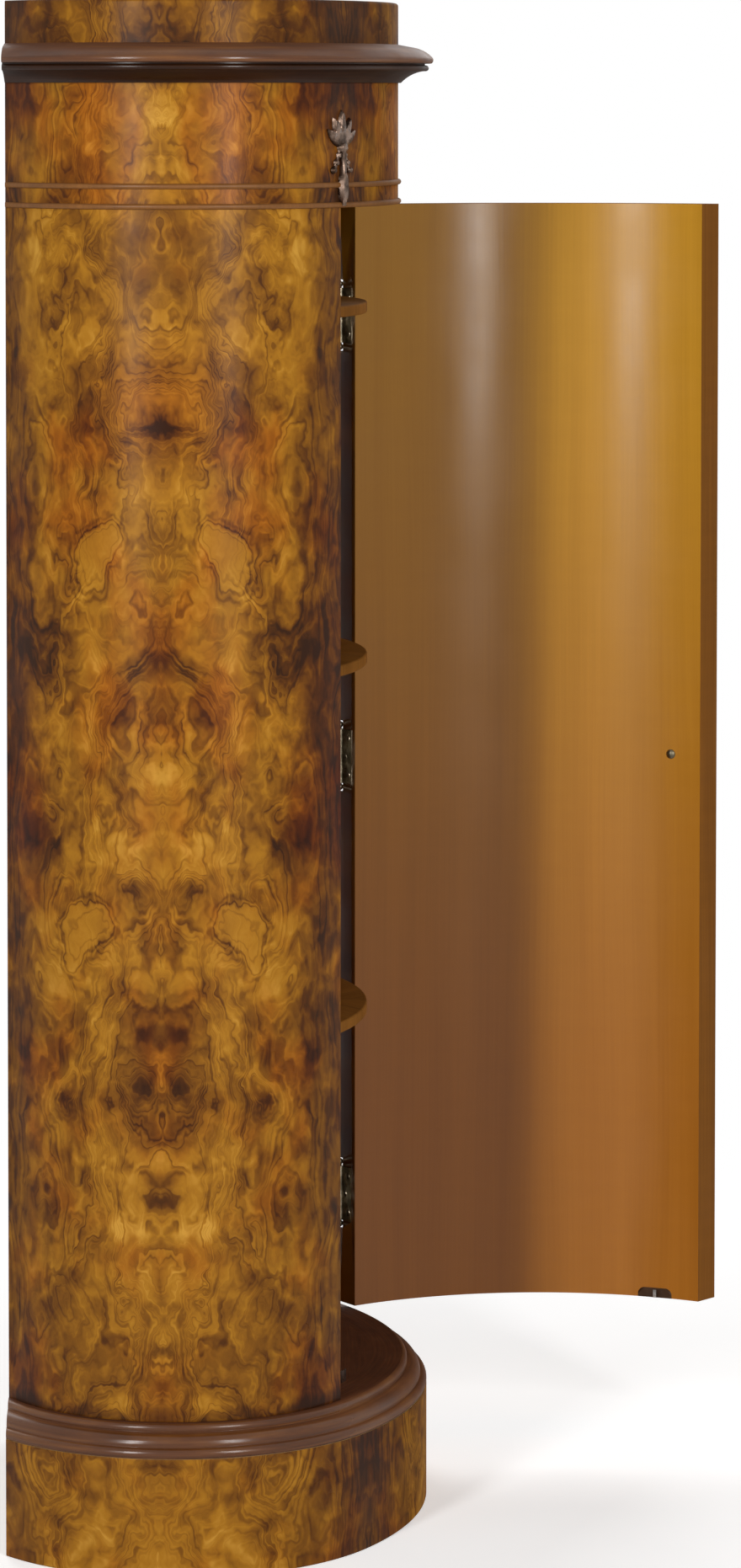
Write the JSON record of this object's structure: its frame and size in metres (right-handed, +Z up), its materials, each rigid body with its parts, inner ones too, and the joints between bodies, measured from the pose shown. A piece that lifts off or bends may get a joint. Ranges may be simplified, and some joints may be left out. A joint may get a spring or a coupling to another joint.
{
  "type": "oval column cabinet",
  "caption": "Free-standing oval column cabinet with a curved hinged door, fixed shelves, moulded plinth and cornice, and cast mounts.",
  "frame": {"origin": "plan centre of the oval column, on the floor under the plinth cross rail", "axes": "+Z up, -Y out of the door side, +Y out of the flat back, +X to the hinge side of the door"},
  "size_m": [0.5387, 0.6043, 1.2635],
  "materials": {
    "burl_veneer": "figured burl veneer under a worn french polish",
    "door_veneer": "straight-grained veneer inside and burl outside, polished",
    "dark_walnut": "dark stained and polished",
    "inner_wood": "plain veneer, satin",
    "carcass_wood": "unfinished softwood",
    "lipping_wood": "solid edge, polished",
    "aged_brass": "dull aged brass",
    "cast_bronze": "dark gilt casting worn on its crests",
    "catch_plastic": "dark brown moulded",
    "catch_steel": "brushed"
  },
  "bodies": {
    "case": {"back_panel": "inner_wood", "back_panel_screws": "aged_brass", "base_board": "dark_walnut", "base_screws": "aged_brass", "block_top": "burl_veneer", "ceiling_board": "inner_wood", "cornice": "dark_walnut", "frieze": "burl_veneer", "frieze_dowels": "carcass_wood", "hinge_bottom_case_leaf": "aged_brass", "hinge_bottom_pin": "aged_brass", "hinge_middle_case_leaf": "aged_brass", "hinge_middle_pin": "aged_brass", "hinge_screws_case": "aged_brass", "hinge_stile": "burl_veneer", "hinge_top_case_leaf": "aged_brass", "hinge_top_pin": "aged_brass", "lock_stile": "burl_veneer", "lower_bead": "lipping_wood", "mount_left": "cast_bronze", "mount_pins": "cast_bronze", "mount_right": "cast_bronze", "plinth_back_rail": "carcass_wood", "plinth_blocks": "carcass_wood", "plinth_cross_rail": "carcass_wood", "plinth_moulding": "dark_walnut", "plinth_skirt": "burl_veneer", "shelf_bottom": "inner_wood", "shelf_middle": "inner_wood", "shelf_pins": "aged_brass", "shelf_top": "inner_wood", "side_wall_left": "burl_veneer", "side_wall_right": "burl_veneer", "strike_plate": "catch_steel", "strike_screw": "catch_steel", "upper_bead": "lipping_wood"},
    "door": {"door_panel": "door_veneer", "door_free_lipping": "lipping_wood", "door_hinge_lipping": "lipping_wood", "door_knob": "aged_brass", "knob_screw": "aged_brass", "catch_housing": "catch_plastic", "catch_tongue": "catch_steel", "hinge_screws_door": "aged_brass", "hinge_bottom_door_leaf": "aged_brass", "hinge_middle_door_leaf": "aged_brass", "hinge_top_door_leaf": "aged_brass"}
  },
  "joints": [
    {"name": "door_hinge", "type": "hinge", "parent": "case", "child": "door", "pos_m": [0.16668, -0.13332, 0.608], "axis": [0, 0, 1], "range_deg": [-92.4, 77.6]}
  ]
}
